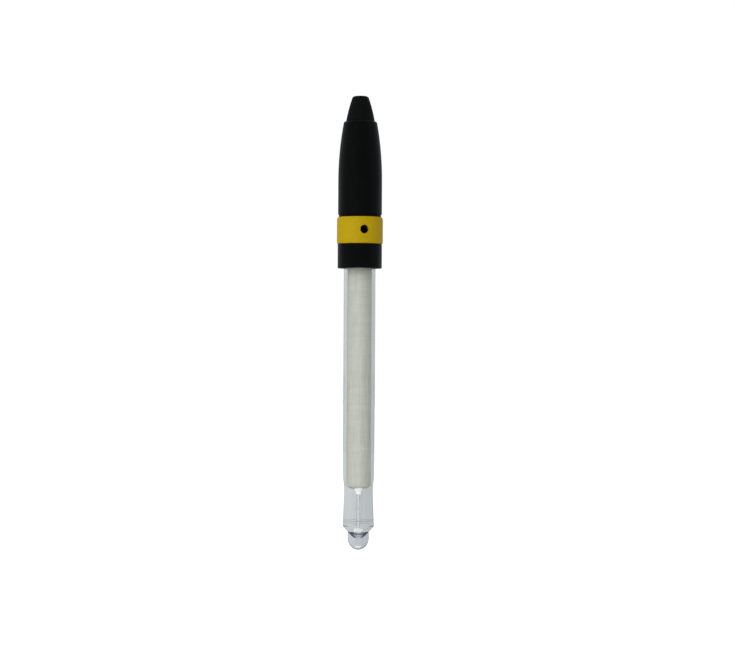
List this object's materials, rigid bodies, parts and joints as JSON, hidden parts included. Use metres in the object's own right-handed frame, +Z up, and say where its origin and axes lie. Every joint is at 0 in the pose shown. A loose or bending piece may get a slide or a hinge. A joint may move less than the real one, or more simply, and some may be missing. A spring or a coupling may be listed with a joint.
{
  "type": "ph electrode",
  "caption": "Refillable pH electrode: glass shaft with a round sensing bulb, black bullet cap with a cable inlet, and a yellow ring that turns to open the refill port.",
  "frame": {"origin": "on the electrode's axis, at the underside of the collar, where the glass shaft leaves the head", "axes": "+Z up along the axis to the cable inlet, with the bulb at the lower end; -Y is the front"},
  "size_m": [0.0174, 0.0174, 0.1717],
  "materials": {
    "black_rubber": "satin moulded rubber",
    "black_plastic": "satin moulded plastic",
    "yellow_plastic": "satin moulded plastic",
    "clear_glass": "clear flame-worked glass",
    "membrane_glass": "thin clear pH glass",
    "grey_screen": "matt grey lining",
    "white_fluoroplastic": "white fluoroplastic",
    "silver_wire": "bare silver",
    "porous_ceramic": "unglazed porous ceramic",
    "clear_liquid": "clear salt solution",
    "silicone": "translucent silicone",
    "resin": "dark potting resin",
    "tinned_metal": "tinned copper"
  },
  "bodies": {
    "electrode": {"cable_boot": "black_rubber", "head_cap": "black_plastic", "head_body": "black_plastic", "ring_washer": "black_rubber", "upper_ring_seal": "black_rubber", "lower_ring_seal": "black_rubber", "outer_glass_tube": "clear_glass", "inner_glass_tube": "clear_glass", "sensing_bulb": "membrane_glass", "screen_sleeve": "grey_screen", "wire_guide": "white_fluoroplastic", "wire_insulation": "white_fluoroplastic", "measuring_wire": "silver_wire", "reference_wire": "silver_wire", "ceramic_junction": "porous_ceramic", "reference_electrolyte": "clear_liquid", "inner_buffer": "clear_liquid", "chamber_seal": "silicone", "tube_stopper": "silicone", "epoxy_potting": "resin", "core_ferrule": "tinned_metal", "screen_ferrule": "tinned_metal"},
    "ring": {"refill_ring": "yellow_plastic"}
  },
  "joints": [
    {"name": "ring_turn", "type": "hinge", "parent": "electrode", "child": "ring", "pos_m": [0, 0, 0.01453], "axis": [0, 0, 1], "continuous": true}
  ]
}
